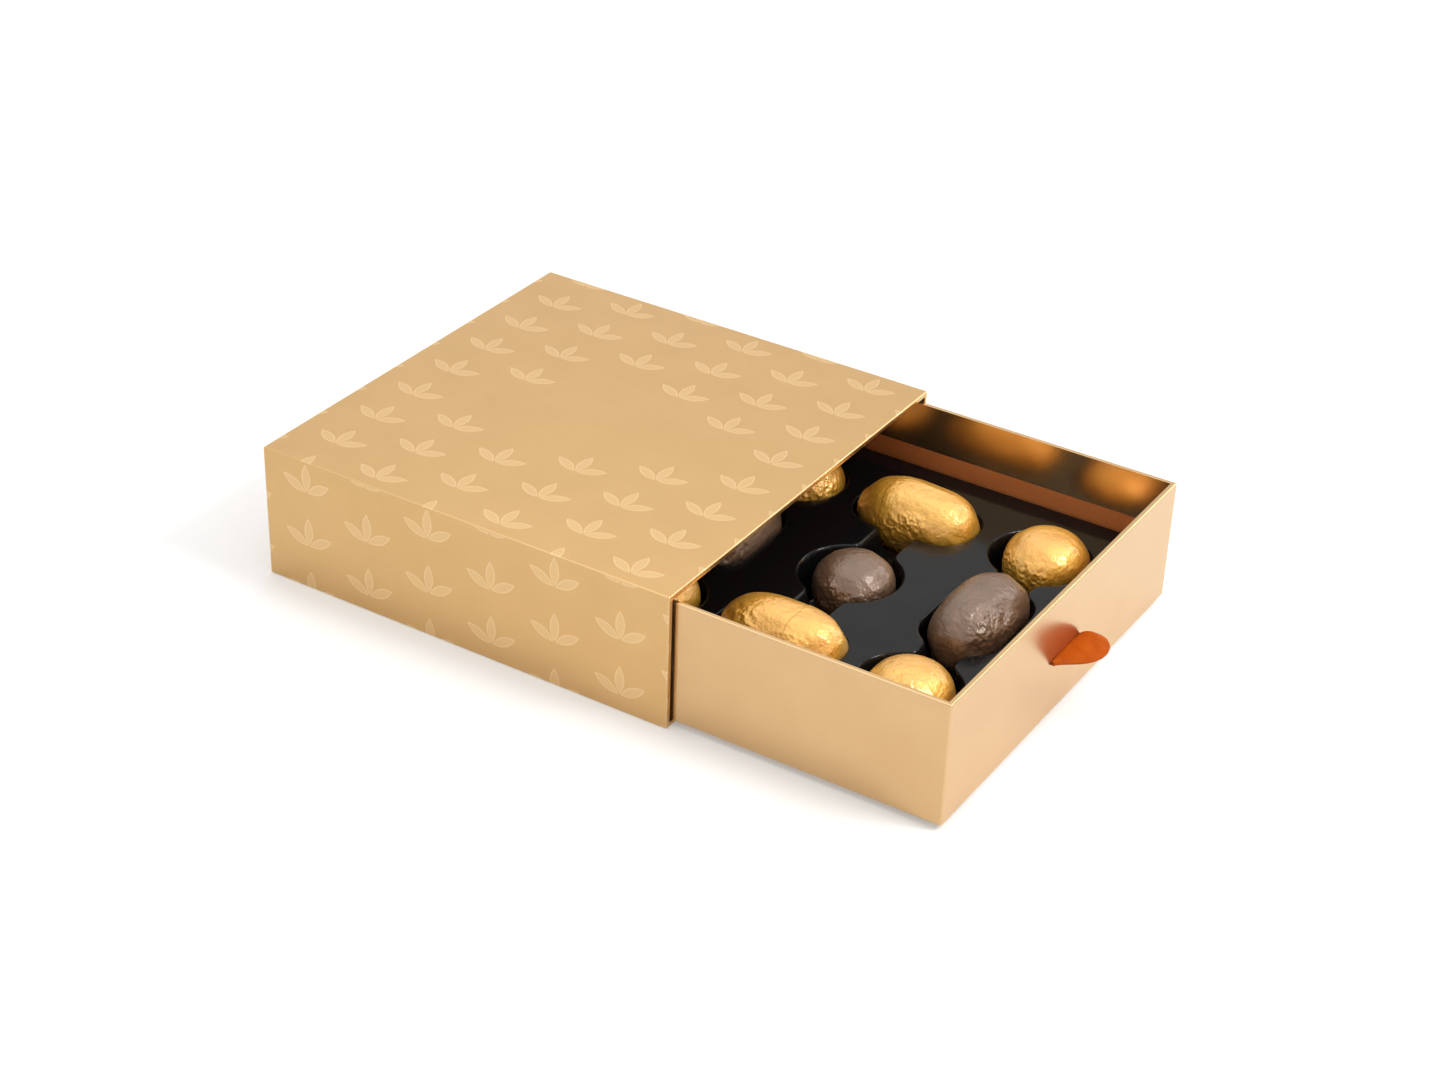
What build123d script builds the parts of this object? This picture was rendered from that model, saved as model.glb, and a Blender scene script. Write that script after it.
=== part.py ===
"""Slipcase box for chocolates: a paper-covered sleeve, a drawer with a formed tray, and nine wrapped pieces.

The origin is the middle of the sleeve's underside. +X is the way the drawer comes out, +Z is up,
and the near side is -Y. The drawer is drawn pulled out by open_travel.
"""
import os

from build123d import *

os.makedirs("parts", exist_ok=True)

# Sleeve, millimetres
sleeve_length = 148.0
sleeve_width = 150.0
sleeve_height = 45.0
board = 1.2
paper = 0.2
edge_round = 0.4
mouth_round = 0.12
sleeve_turn_in = 14.0

# Drawer, with its running gaps inside the sleeve
side_gap = 1.0
floor_gap = 0.3
head_gap = 1.2
rear_gap = 1.2
open_travel = 88.5
drawer_turn_in = 15.7
rim_round = 0.12

# Ribbon pull and its slit in the front wall
ribbon_width = 18.8
ribbon_thickness = 0.8
ribbon_reach = 9.0
ribbon_lean = 3.1
ribbon_drop = 5.5
slit_gap = 0.2
tail_length = 9.0
tail_thickness = 0.35
patch_length = 26.0
patch_height = 7.0
patch_thickness = 0.15
patch_drop = 1.5

# Formed tray
tray_sheet = 0.5
tray_height = 20.8
tray_gap = 0.9
tray_edge_round = 1.2
row_pitch = 43.2
column_pitch = 41.6
row_shift = 0.6
long_pocket_gap = 1.4
round_pocket_gap = 3.0
pocket_draft = 6.0
long_floor_height = 7.2
round_floor_height = 5.7
pocket_floor_round = 4.0
rim_softness = 0.5
channel_width = 13.0
channel_depth = 8.0
channel_floor_round = 3.0
seat_gap = 0.3

# Wrapped chocolates: long ones lie on their side, round ones stand, and the middle one is smaller
long_length = 39.6
long_diameter = 24.0
round_diameter = 27.0
round_height = 22.6
small_diameter = 25.6
small_height = 21.0
foil = 0.12
crease_room = 0.7

# Places that follow from the sizes above
wall = board + 2 * paper
outer_round = edge_round + paper
back_x = -sleeve_length / 2
mouth_x = sleeve_length / 2
side_y = sleeve_width / 2
inner_half_width = side_y - wall

drawer_length = sleeve_length - wall - rear_gap
drawer_width = sleeve_width - 2 * wall - 2 * side_gap
drawer_bottom = wall + floor_gap
drawer_top = sleeve_height - wall - head_gap
front_x = mouth_x + open_travel
rear_x = front_x - drawer_length
drawer_side_y = drawer_width / 2
drawer_floor = drawer_bottom + wall
lining_top = drawer_top - drawer_turn_in
ribbon_height = lining_top - ribbon_drop

tray_front_x = front_x - wall - tray_gap
tray_rear_x = rear_x + wall + tray_gap
tray_side_y = drawer_side_y - wall - tray_gap
grid_x = (tray_front_x + tray_rear_x) / 2 + row_shift


def block(low, high):
    """A plain block between two opposite corners."""
    size = [h - l for l, h in zip(low, high)]
    middle = [(h + l) / 2 for l, h in zip(low, high)]
    with BuildPart() as piece:
        with Locations(tuple(middle)):
            Box(*size)
    return piece.part


def rounded_block(low, high, radius):
    """The same, with all of its edges rounded."""
    with BuildPart() as piece:
        add(block(low, high))
        fillet(piece.edges(), radius=radius)
    return piece.part


def panel(whole, low, high):
    """One board of a carcass: what a block between two corners keeps of the carcass."""
    with BuildPart() as piece:
        add(whole)
        add(block(low, high), mode=Mode.INTERSECT)
    return piece.part


def keep(part, name):
    """Labels one finished piece and writes it."""
    part.label = name
    export_step(part, f"parts/{name}.step")


# Sleeve carcass: five boards, cut from one rounded block with a cavity that is open at the mouth
carcass_low = (back_x + paper, -side_y + paper, paper)
carcass_high = (mouth_x - paper, side_y - paper, sleeve_height - paper)
cavity_low = (back_x + paper + board, -side_y + paper + board, paper + board)
cavity_high = (mouth_x + paper, side_y - paper - board, sleeve_height - paper - board)
sleeve_envelope = rounded_block(carcass_low, carcass_high, edge_round)

with BuildPart() as sleeve_carcass:
    add(sleeve_envelope)
    add(block(cavity_low, cavity_high), mode=Mode.SUBTRACT)

sleeve_panels = {
    "sleeve_base_board": (carcass_low, (carcass_high[0], carcass_high[1], cavity_low[2])),
    "sleeve_top_board": ((carcass_low[0], carcass_low[1], cavity_high[2]), carcass_high),
    "sleeve_near_board": (
        (carcass_low[0], carcass_low[1], cavity_low[2]),
        (carcass_high[0], cavity_low[1], cavity_high[2]),
    ),
    "sleeve_far_board": (
        (carcass_low[0], cavity_high[1], cavity_low[2]),
        (carcass_high[0], carcass_high[1], cavity_high[2]),
    ),
    "sleeve_back_board": (
        (carcass_low[0], cavity_low[1], cavity_low[2]),
        (cavity_low[0], cavity_high[1], cavity_high[2]),
    ),
}
for name, (low, high) in sleeve_panels.items():
    keep(panel(sleeve_carcass.part, low, high), name)

# Sleeve base sheet: closes the wrap underneath and stands on the table
sheet_low = (back_x + outer_round, -side_y + outer_round, 0)
sheet_high = (mouth_x - outer_round, side_y - outer_round, paper)
sleeve_base_sheet = block(sheet_low, sheet_high)
keep(sleeve_base_sheet, "sleeve_base_sheet")

# Sleeve wrap: paper round the boards, over the mouth's edges and turned in
clear_low = (back_x + wall, -inner_half_width, wall)
clear_high = (mouth_x + paper, inner_half_width, sleeve_height - wall)
turn_in_x = mouth_x - sleeve_turn_in
with BuildPart() as sleeve_wrap:
    add(rounded_block((back_x, -side_y, 0), (mouth_x, side_y, sleeve_height), outer_round))
    add(sleeve_envelope, mode=Mode.SUBTRACT)
    add(sleeve_base_sheet, mode=Mode.SUBTRACT)
    add(
        block(
            (turn_in_x, cavity_low[1], cavity_low[2]),
            (mouth_x - paper, cavity_high[1], cavity_high[2]),
        )
    )
    add(block((turn_in_x, clear_low[1], clear_low[2]), clear_high), mode=Mode.SUBTRACT)
    mouth_edges = sleeve_wrap.edges().group_by(Axis.X)[-1]
    inner_mouth = [
        edge
        for edge in mouth_edges
        if abs(edge.center().Y) < inner_half_width + paper
        and wall - paper < edge.center().Z < sleeve_height - wall + paper
    ]
    fillet(inner_mouth, radius=mouth_round)
keep(sleeve_wrap.part, "sleeve_wrap")

# Sleeve lining: paper on the inside, from the turn-in to the back
with BuildPart() as sleeve_lining:
    add(block(cavity_low, (turn_in_x, cavity_high[1], cavity_high[2])))
    add(block(clear_low, (turn_in_x, clear_high[1], clear_high[2])), mode=Mode.SUBTRACT)
keep(sleeve_lining.part, "sleeve_lining")

# Ribbon slit: a flat slot through the front wall's paper, board and lining
slit_half_length = ribbon_width / 2 + slit_gap
slit_half_height = ribbon_thickness / 2 + slit_gap
slit = block(
    (front_x - 2 * wall, -slit_half_length, ribbon_height - slit_half_height),
    (front_x + wall, slit_half_length, ribbon_height + slit_half_height),
)

# Drawer carcass: base board, with four wall boards on it
tub_low = (rear_x + paper, -drawer_side_y + paper, drawer_bottom + paper)
tub_high = (front_x - paper, drawer_side_y - paper, drawer_top - paper)
well_low = (rear_x + paper + board, -drawer_side_y + paper + board, drawer_bottom + paper + board)
well_high = (front_x - paper - board, drawer_side_y - paper - board, drawer_top + paper)
drawer_envelope = rounded_block(tub_low, tub_high, edge_round)

with BuildPart() as drawer_carcass:
    add(drawer_envelope)
    add(block(well_low, well_high), mode=Mode.SUBTRACT)
    add(slit, mode=Mode.SUBTRACT)

drawer_panels = {
    "drawer_base_board": (tub_low, (tub_high[0], tub_high[1], well_low[2])),
    "drawer_near_board": (
        (tub_low[0], tub_low[1], well_low[2]),
        (tub_high[0], well_low[1], tub_high[2]),
    ),
    "drawer_far_board": (
        (tub_low[0], well_high[1], well_low[2]),
        (tub_high[0], tub_high[1], tub_high[2]),
    ),
    "drawer_front_board": (
        (well_high[0], well_low[1], well_low[2]),
        (tub_high[0], well_high[1], tub_high[2]),
    ),
    "drawer_rear_board": (
        (tub_low[0], well_low[1], well_low[2]),
        (well_low[0], well_high[1], tub_high[2]),
    ),
}
for name, (low, high) in drawer_panels.items():
    keep(panel(drawer_carcass.part, low, high), name)

# Drawer base sheet: the paper that closes the wrap underneath
drawer_base_sheet = block(
    (rear_x + outer_round, -drawer_side_y + outer_round, drawer_bottom),
    (front_x - outer_round, drawer_side_y - outer_round, drawer_bottom + paper),
)
keep(drawer_base_sheet, "drawer_base_sheet")

# Drawer wrap: paper round the walls, over the rim and turned in
hold_low = (rear_x + wall, -drawer_side_y + wall, lining_top)
hold_high = (front_x - wall, drawer_side_y - wall, drawer_top + paper)
with BuildPart() as drawer_wrap:
    add(
        rounded_block(
            (rear_x, -drawer_side_y, drawer_bottom),
            (front_x, drawer_side_y, drawer_top),
            outer_round,
        )
    )
    add(drawer_envelope, mode=Mode.SUBTRACT)
    add(drawer_base_sheet, mode=Mode.SUBTRACT)
    add(
        block(
            (well_low[0], well_low[1], lining_top),
            (well_high[0], well_high[1], drawer_top - paper),
        )
    )
    add(block(hold_low, hold_high), mode=Mode.SUBTRACT)
    add(slit, mode=Mode.SUBTRACT)
    rim_edges = drawer_wrap.edges().group_by(Axis.Z)[-1]
    inner_rim = [
        edge
        for edge in rim_edges
        if abs(edge.center().Y) < hold_high[1] + paper
        and hold_low[0] - paper < edge.center().X < hold_high[0] + paper
    ]
    fillet(inner_rim, radius=rim_round)
keep(drawer_wrap.part, "drawer_wrap")

# Drawer lining: paper on the walls below the turn-in, and on the floor
with BuildPart() as drawer_lining:
    add(block(well_low, (well_high[0], well_high[1], lining_top)))
    add(
        block((hold_low[0], hold_low[1], drawer_floor), (hold_high[0], hold_high[1], drawer_top)),
        mode=Mode.SUBTRACT,
    )
    add(slit, mode=Mode.SUBTRACT)
keep(drawer_lining.part, "drawer_lining")

# Ribbon pull: two layers of satin, folded aslant outside, through the slit and down the inside
ribbon_half = ribbon_width / 2
ribbon_low = ribbon_height - ribbon_thickness / 2
crest_share = (0.72, -0.38)
nose_share = (1.0, 0.53)
tip_share = (0.95, 1.05)
heel_share = (0.29, 1.2)
with BuildPart() as ribbon_pull:
    with BuildSketch(Plane.XY.offset(ribbon_low)):
        with BuildLine():
            root_near = (front_x, -ribbon_half)
            root_far = (front_x, ribbon_half)
            crest = (front_x + crest_share[0] * ribbon_reach, crest_share[1] * ribbon_half)
            nose = (front_x + nose_share[0] * ribbon_reach, nose_share[1] * ribbon_half)
            tip = (front_x + tip_share[0] * ribbon_reach, tip_share[1] * ribbon_half)
            corner = (front_x + ribbon_reach - ribbon_lean, ribbon_half + ribbon_lean)
            heel = (front_x + heel_share[0] * ribbon_reach, heel_share[1] * ribbon_half)
            ThreePointArc(root_near, crest, nose)
            ThreePointArc(nose, tip, corner)
            ThreePointArc(corner, heel, root_far)
            Line(root_far, root_near)
        make_face()
    extrude(amount=ribbon_thickness)
    add(
        block(
            (hold_high[0] - tail_thickness, -ribbon_half, ribbon_low),
            (front_x, ribbon_half, ribbon_low + ribbon_thickness),
        )
    )
    add(
        block(
            (hold_high[0] - tail_thickness, -ribbon_half, ribbon_low - tail_length),
            (hold_high[0], ribbon_half, ribbon_low + ribbon_thickness),
        )
    )
keep(ribbon_pull.part, "ribbon_pull")

# Ribbon patch: tape over the ribbon's tail
patch_top = ribbon_low - patch_drop
ribbon_patch = block(
    (hold_high[0] - tail_thickness - patch_thickness, -patch_length / 2, patch_top - patch_height),
    (hold_high[0] - tail_thickness, patch_length / 2, patch_top),
)
keep(ribbon_patch, "ribbon_patch")

# The three rows and columns, counted from the front and from the near side
long_pieces = ("1b", "2a", "2c", "3b")
along_the_drawer = ("2a", "2c")
small_piece = "2b"
# How each piece lies in its pocket, in shares of the gap round it: forward, and to the far side
lie_share = {
    "1a": (0.43, -0.55), "1b": (0.4, 0.1), "1c": (0.38, 0.60),
    "2a": (0.8, 0.6), "2b": (0.43, 0.09), "2c": (0.4, 0.0),
    "3a": (0.09, 0.05), "3b": (0.5, 0.3), "3c": (0.53, 0.17),
}


def pocket_place(code):
    """The middle of a piece's pocket: a row number from the front, and a column letter."""
    row = int(code[0]) - 2
    column = "abc".index(code[1]) - 1
    return grid_x - row * row_pitch, column * column_pitch


def turn_of(code):
    """A long piece's turn about Z, in degrees; a round piece has none."""
    return 90.0 if code in long_pieces and code not in along_the_drawer else 0.0


# Tray: a formed sheet with nine pockets and finger channels between neighbours in a row
def pocket_space(half_length, half_width, corner, floor_height, floor_round, grow):
    """A pocket as a solid, with drawn-in sides and a rounded floor, grown by the sheet or not."""
    depth = tray_height - floor_height + grow
    with BuildPart() as space:
        with BuildSketch(Plane.XY.offset(tray_height)):
            RectangleRounded(2 * (half_length + grow), 2 * (half_width + grow), corner + grow)
        extrude(amount=-depth, taper=pocket_draft)
        fillet(space.faces().sort_by(Axis.Z)[0].edges(), radius=floor_round)
    return space.part


def tray_spaces(grow):
    """All the pockets and channels as one solid."""
    long_half = long_length / 2 + long_pocket_gap
    long_side = long_diameter / 2 + long_pocket_gap
    round_side = round_diameter / 2 + round_pocket_gap
    long_space = pocket_space(
        long_half, long_side, long_side - long_pocket_gap, long_floor_height, pocket_floor_round, grow
    )
    round_space = pocket_space(
        round_side, round_side, round_side - paper, round_floor_height, pocket_floor_round, grow
    )
    channel_space = pocket_space(
        column_pitch,
        channel_width / 2,
        channel_floor_round,
        tray_height - channel_depth,
        channel_floor_round,
        grow,
    )
    with BuildPart() as spaces:
        for code in lie_share:
            x, y = pocket_place(code)
            with Locations(Location((x, y, 0), (0, 0, turn_of(code)))):
                add(long_space if code in long_pieces else round_space)
        for code in ("1b", "2b", "3b"):
            x, y = pocket_place(code)
            with Locations(Location((x, y, 0), (0, 0, 90))):
                add(channel_space)
    return spaces.part


tray_low = (tray_rear_x, -tray_side_y, drawer_floor)
tray_high = (tray_front_x, tray_side_y, tray_height)
with BuildPart() as insert_tray:
    add(block(tray_low, tray_high))
    fillet(insert_tray.edges().filter_by(Axis.Z), radius=tray_edge_round)
    fillet(insert_tray.faces().sort_by(Axis.Z)[-1].edges(), radius=tray_edge_round)
    offset(amount=-tray_sheet, openings=insert_tray.faces().sort_by(Axis.Z)[0])
    add(tray_spaces(tray_sheet))
    add(tray_spaces(0), mode=Mode.SUBTRACT)
    top_edges = insert_tray.faces().sort_by(Axis.Z)[-1].inner_wires().edges()
    fillet(top_edges, radius=rim_softness)
keep(insert_tray.part, "insert_tray")

# Outlines of the chocolates: how full their ends and sides are, in shares of half length and radius
long_end_share = 0.80
long_side_share = 0.62
round_base_share = 0.58
round_flank_share = (0.92, -0.62)
round_waist_share = -0.10
round_crown_share = (0.60, 0.66)


def long_form(half_length, radius):
    """A long chocolate about the X axis: a barrel with full, rounded ends."""
    end = long_end_share * radius
    side = long_side_share * half_length
    with BuildPart() as form:
        with BuildSketch(Plane.XY):
            with BuildLine():
                Bezier((-half_length, 0), (-half_length, end), (-side, radius), (0, radius))
                Bezier((0, radius), (side, radius), (half_length, end), (half_length, 0))
                Line((half_length, 0), (-half_length, 0))
            make_face()
        revolve(axis=Axis.X)
    return form.part


def round_form(half_height, radius):
    """A round chocolate about the Z axis: a flat foot, a full waist and a domed crown."""
    foot = (round_base_share * radius, -half_height)
    low_pull = (round_flank_share[0] * radius, -half_height)
    side_pull = (radius, round_flank_share[1] * half_height)
    waist = (radius, round_waist_share * half_height)
    high_pull = (radius, round_crown_share[1] * half_height)
    crown_pull = (round_crown_share[0] * radius, half_height)
    with BuildPart() as form:
        with BuildSketch(Plane.XZ):
            with BuildLine():
                Line((0, -half_height), foot)
                Bezier(foot, low_pull, side_pull, waist)
                Bezier(waist, high_pull, crown_pull, (0, half_height))
                Line((0, half_height), (0, -half_height))
            make_face()
        revolve(axis=Axis.Z)
    return form.part


def half_height_of(code):
    """How far a piece's middle lies over its lowest point."""
    if code in long_pieces:
        return long_diameter / 2
    return (small_height if code == small_piece else round_height) / 2


def nested_forms(code):
    """Three outlines of a piece, one inside the other: the foil's outside and inside, and the chocolate."""
    forms = []
    for depth in (0, foil, foil + crease_room):
        if code in long_pieces:
            forms.append(long_form(long_length / 2 - depth, long_diameter / 2 - depth))
        elif code == small_piece:
            forms.append(round_form(small_height / 2 - depth, small_diameter / 2 - depth))
        else:
            forms.append(round_form(round_height / 2 - depth, round_diameter / 2 - depth))
    return forms


# Chocolates and their foil: each stands seat_gap over its pocket's floor
for code, (forward_share, across_share) in lie_share.items():
    outside, inside, core = nested_forms(code)
    is_long = code in long_pieces
    gap = long_pocket_gap if is_long else round_pocket_gap
    floor_height = long_floor_height if is_long else round_floor_height
    x, y = pocket_place(code)
    centre = (
        x + forward_share * gap,
        y + across_share * gap,
        floor_height + seat_gap + half_height_of(code),
    )
    place = Location(centre, (0, 0, turn_of(code)))
    with BuildPart() as chocolate:
        with Locations(place):
            add(core)
    keep(chocolate.part, f"chocolate_{code}")
    with BuildPart() as wrapper:
        with Locations(place):
            add(outside)
            add(inside, mode=Mode.SUBTRACT)
    keep(wrapper.part, f"foil_{code}")
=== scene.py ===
"""The chocolate box as it looks: gold paper, ribbon pull, formed tray and wrapped chocolates."""
import math

import bmesh
import bpy
import numpy as np
from mathutils import Matrix, Vector, noise


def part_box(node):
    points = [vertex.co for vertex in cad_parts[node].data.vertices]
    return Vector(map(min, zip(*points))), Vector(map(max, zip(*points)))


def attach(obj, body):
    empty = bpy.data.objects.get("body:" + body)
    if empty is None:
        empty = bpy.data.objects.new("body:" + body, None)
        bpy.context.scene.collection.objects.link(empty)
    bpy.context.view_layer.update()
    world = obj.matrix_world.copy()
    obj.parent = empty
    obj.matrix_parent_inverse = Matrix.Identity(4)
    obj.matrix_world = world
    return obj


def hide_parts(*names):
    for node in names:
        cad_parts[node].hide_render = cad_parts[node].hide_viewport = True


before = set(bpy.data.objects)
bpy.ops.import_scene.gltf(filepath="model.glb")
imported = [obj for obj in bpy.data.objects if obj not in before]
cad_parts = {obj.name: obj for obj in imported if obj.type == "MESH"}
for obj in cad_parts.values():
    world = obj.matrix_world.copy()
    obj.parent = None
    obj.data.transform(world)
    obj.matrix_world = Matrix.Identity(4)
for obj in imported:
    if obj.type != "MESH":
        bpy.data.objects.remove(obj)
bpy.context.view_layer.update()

# The camera stands in front of the drawer, to the right, and looks down on the box a little.
# Its place and turn were fitted to the corners of the sleeve and drawer in the photograph.
mm = 0.001
camera_place = Vector((421.6, -617.4, 458.8)) * mm
camera_azimuth = math.radians(31.45)
camera_elevation = math.radians(31.46)
camera_roll = math.radians(1.99)
camera_focal_pixels = 2737.0
camera_reach = (0.01, 20.0)
photo_width_pixels = 1440.0
sensor_width = 36.0


def set_down(name, data):
    """Makes an object of a lens, a lamp or a mesh, and sets it down in the scene."""
    thing = bpy.data.objects.new(name, data)
    bpy.context.scene.collection.objects.link(thing)
    return thing


def make_camera():
    """Turns the lens to its azimuth and elevation, and rolls it about the way that it looks."""
    back = Vector(
        (
            math.sin(camera_azimuth) * math.cos(camera_elevation),
            -math.cos(camera_azimuth) * math.cos(camera_elevation),
            math.sin(camera_elevation),
        )
    )
    level = Vector((math.cos(camera_azimuth), math.sin(camera_azimuth), 0))
    upright = back.cross(level)
    right = level * math.cos(camera_roll) + upright * math.sin(camera_roll)
    up = upright * math.cos(camera_roll) - level * math.sin(camera_roll)
    lens = bpy.data.cameras.new("camera")
    lens.sensor_width = sensor_width
    lens.lens = sensor_width * camera_focal_pixels / photo_width_pixels
    lens.clip_start, lens.clip_end = camera_reach
    camera = set_down("camera", lens)
    turn = Matrix((right, up, back)).transposed().to_4x4()
    camera.matrix_world = Matrix.Translation(camera_place) @ turn
    bpy.context.scene.camera = camera


make_camera()

# The studio: a wide pale floor, a pale room all round, and four soft lamps.
# The camera, gloss and glass see floor and room as white, and the box is lit at a plain level.
floor_half_size = 1.6
floor_colour = (0.80, 0.815, 0.84, 1)
# The floor's own glow near the box and far from it, and the distances between which it rises
near_floor_glow = 0.235
far_floor_glow = 0.50
floor_glow_rise = (0.5, 1.4)
room_colour = (1.0, 0.985, 0.96, 1)
room_level = 0.62
white_level = 1.0
# Each lamp's place, aim and two sides in metres, its power in watts, and its colour
lamps = {
    "key_lamp": ((0.75, 0.10, 0.80), (0.05, 0.0, 0.0), (0.24, 0.24), 4.8, (1.0, 0.97, 0.92)),
    "top_lamp": ((0.02, 0.20, 1.1), (0.02, 0.0, 0.0), (1.5, 1.5), 6.2, (1.0, 0.96, 0.90)),
    "back_lamp": ((0.50, 0.80, 0.45), (0.09, 0.0, 0.02), (0.14, 0.7), 1.5, (1.0, 0.98, 0.95)),
    "near_lamp": ((-0.35, -0.95, 0.5), (0.0, 0.0, 0.02), (0.6, 0.5), 0.25, (1.0, 1.0, 1.0)),
}


class Look:
    """The nodes of one material, or of the room, made by short calls on numbers and sockets."""

    def __init__(self, owner, output="ShaderNodeOutputMaterial"):
        owner.use_nodes = True
        self.owner = owner
        self.tree = owner.node_tree
        self.tree.nodes.clear()
        self.output = self.node(output)

    def node(self, kind, **settings):
        made = self.tree.nodes.new(kind)
        for name, value in settings.items():
            setattr(made, name, value)
        return made

    def put(self, socket, value):
        if isinstance(value, bpy.types.NodeSocket):
            self.tree.links.new(value, socket)
        else:
            socket.default_value = value

    def filled(self, kind, **sockets):
        """A node with its sockets filled by name, where an underscore stands for a space."""
        made = self.node(kind)
        for name, value in sockets.items():
            self.put(made.inputs[name.replace("_", " ")], value)
        return made

    def place(self):
        """Where the point lies, in metres."""
        return self.node("ShaderNodeTexCoord").outputs["Object"]

    def facing(self):
        """The way that the plain surface faces, before any bump."""
        return self.node("ShaderNodeNewGeometry").outputs["True Normal"]

    def math(self, operation, a, b=0.0):
        made = self.node("ShaderNodeMath", operation=operation)
        self.put(made.inputs[0], a)
        self.put(made.inputs[1], b)
        return made.outputs[0]

    def plus(self, a, b):
        return self.math("ADD", a, b)

    def minus(self, a, b):
        return self.math("SUBTRACT", a, b)

    def times(self, a, b):
        return self.math("MULTIPLY", a, b)

    def greater(self, a, b):
        return self.math("MAXIMUM", a, b)

    def vector(self, operation, a, b=(0, 0, 0)):
        made = self.node("ShaderNodeVectorMath", operation=operation)
        self.put(made.inputs[0], a)
        self.put(made.inputs[1], b)
        return made.outputs["Value" if operation == "LENGTH" else "Vector"]

    def parts(self, vector):
        """The three parts of a vector, along X, Y and Z."""
        return tuple(self.filled("ShaderNodeSeparateXYZ", Vector=vector).outputs)

    def span(self, value, low, high, to_low=0.0, to_high=1.0, rise="LINEAR"):
        """Brings a value from between low and high to between to_low and to_high, and not past."""
        made = self.node("ShaderNodeMapRange", interpolation_type=rise)
        for socket, number in zip(made.inputs, (value, low, high, to_low, to_high)):
            self.put(socket, number)
        return made.outputs[0]

    def noise(self, vector, scale, detail=2.0, roughness=0.5):
        sizes = {"Scale": scale, "Detail": detail, "Roughness": roughness}
        return self.filled("ShaderNodeTexNoise", Vector=vector, **sizes).outputs["Fac"]

    def mix(self, share, a, b):
        """A colour between two. The node's sockets 6 and 7 and its third output are for colours."""
        made = self.node("ShaderNodeMix", data_type="RGBA")
        for socket, value in ((0, share), (6, a), (7, b)):
            self.put(made.inputs[socket], value)
        return made.outputs[2]

    def bump(self, height, distance, normal=None):
        made = self.filled("ShaderNodeBump", Height=height, Distance=distance, Strength=1.0)
        if normal is not None:
            self.put(made.inputs["Normal"], normal)
        return made.outputs[0]

    def end(self, surface):
        """Sends a surface to the output, and gives back the material or the room."""
        self.put(self.output.inputs["Surface"], surface)
        return self.owner

    def finish(self, **sockets):
        """Ends in the one shader that board, paper, ribbon, film and foil all take."""
        return self.end(self.filled("ShaderNodeBsdfPrincipled", **sockets).outputs[0])


def seen_directly(look):
    """1 for what the camera, gloss and glass see, and 0 for light that falls on the box."""
    path = look.node("ShaderNodeLightPath")
    seen = look.greater(path.outputs["Is Camera Ray"], path.outputs["Is Glossy Ray"])
    return look.greater(seen, path.outputs["Is Transmission Ray"])


def make_room():
    look = Look(bpy.data.worlds.new("room"), "ShaderNodeOutputWorld")
    strength = look.span(seen_directly(look), 0.0, 1.0, to_low=room_level, to_high=white_level)
    background = look.filled("ShaderNodeBackground", Color=room_colour, Strength=strength)
    bpy.context.scene.world = look.end(background.outputs[0])


def make_floor():
    around = ((-1, -1), (1, -1), (1, 1), (-1, 1))
    corners = [(x * floor_half_size, y * floor_half_size, 0) for x, y in around]
    mesh = bpy.data.meshes.new("floor")
    mesh.from_pydata(corners, [], [(0, 1, 2, 3)])
    look = Look(bpy.data.materials.new("pale_floor"))
    # The glow grows away from the box, so that the floor's far end meets the room without an edge
    away = look.vector("LENGTH", look.place())
    glow = look.span(away, *floor_glow_rise, near_floor_glow, far_floor_glow, rise="SMOOTHSTEP")
    both = look.node("ShaderNodeAddShader")
    look.put(both.inputs[0], look.filled("ShaderNodeBsdfDiffuse", Color=floor_colour).outputs[0])
    strength = look.times(seen_directly(look), glow)
    look.put(both.inputs[1], look.filled("ShaderNodeEmission", Strength=strength).outputs[0])
    mesh.materials.append(look.end(both.outputs[0]))
    floor = set_down("floor", mesh)


def make_lamp(name, place, aim, sides, watts, colour):
    lamp = bpy.data.lights.new(name, "AREA")
    lamp.shape = "RECTANGLE"
    lamp.size, lamp.size_y = sides
    lamp.energy = watts
    lamp.color = colour
    stand = set_down(name, lamp)
    stand.location = place
    stand.rotation_mode = "QUATERNION"
    stand.rotation_quaternion = (Vector(aim) - Vector(place)).to_track_quat("-Z", "Y")


make_room()
make_floor()
for name, settings in lamps.items():
    make_lamp(name, *settings)

# Greyboard: the stiff grey core of all ten panels, pressed from waste paper and die-cut.
# The panels are glued edge to edge and hide under the papers. They show only in the ribbon's slit.
board_grey = (0.24, 0.21, 0.17, 1)
board_fleck = (0.36, 0.32, 0.27, 1)
board_roughness = 0.9
fleck_scale = 1500.0
fleck_span = (0.4, 0.65)
fleck_height = 0.00003


def dress(node, material):
    """Gives a CAD node its finish."""
    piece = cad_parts[node]
    piece.data.materials.clear()
    piece.data.materials.append(material)


def make_greyboard():
    look = Look(bpy.data.materials.new("greyboard"))
    fleck = look.noise(look.place(), fleck_scale, detail=4.0, roughness=0.75)
    return look.finish(
        Base_Color=look.mix(look.span(fleck, *fleck_span), board_grey, board_fleck),
        Roughness=board_roughness,
        Normal=look.bump(fleck, fleck_height),
    )


greyboard = make_greyboard()
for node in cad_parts:
    if node.endswith("_board"):
        dress(node, greyboard)

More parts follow.
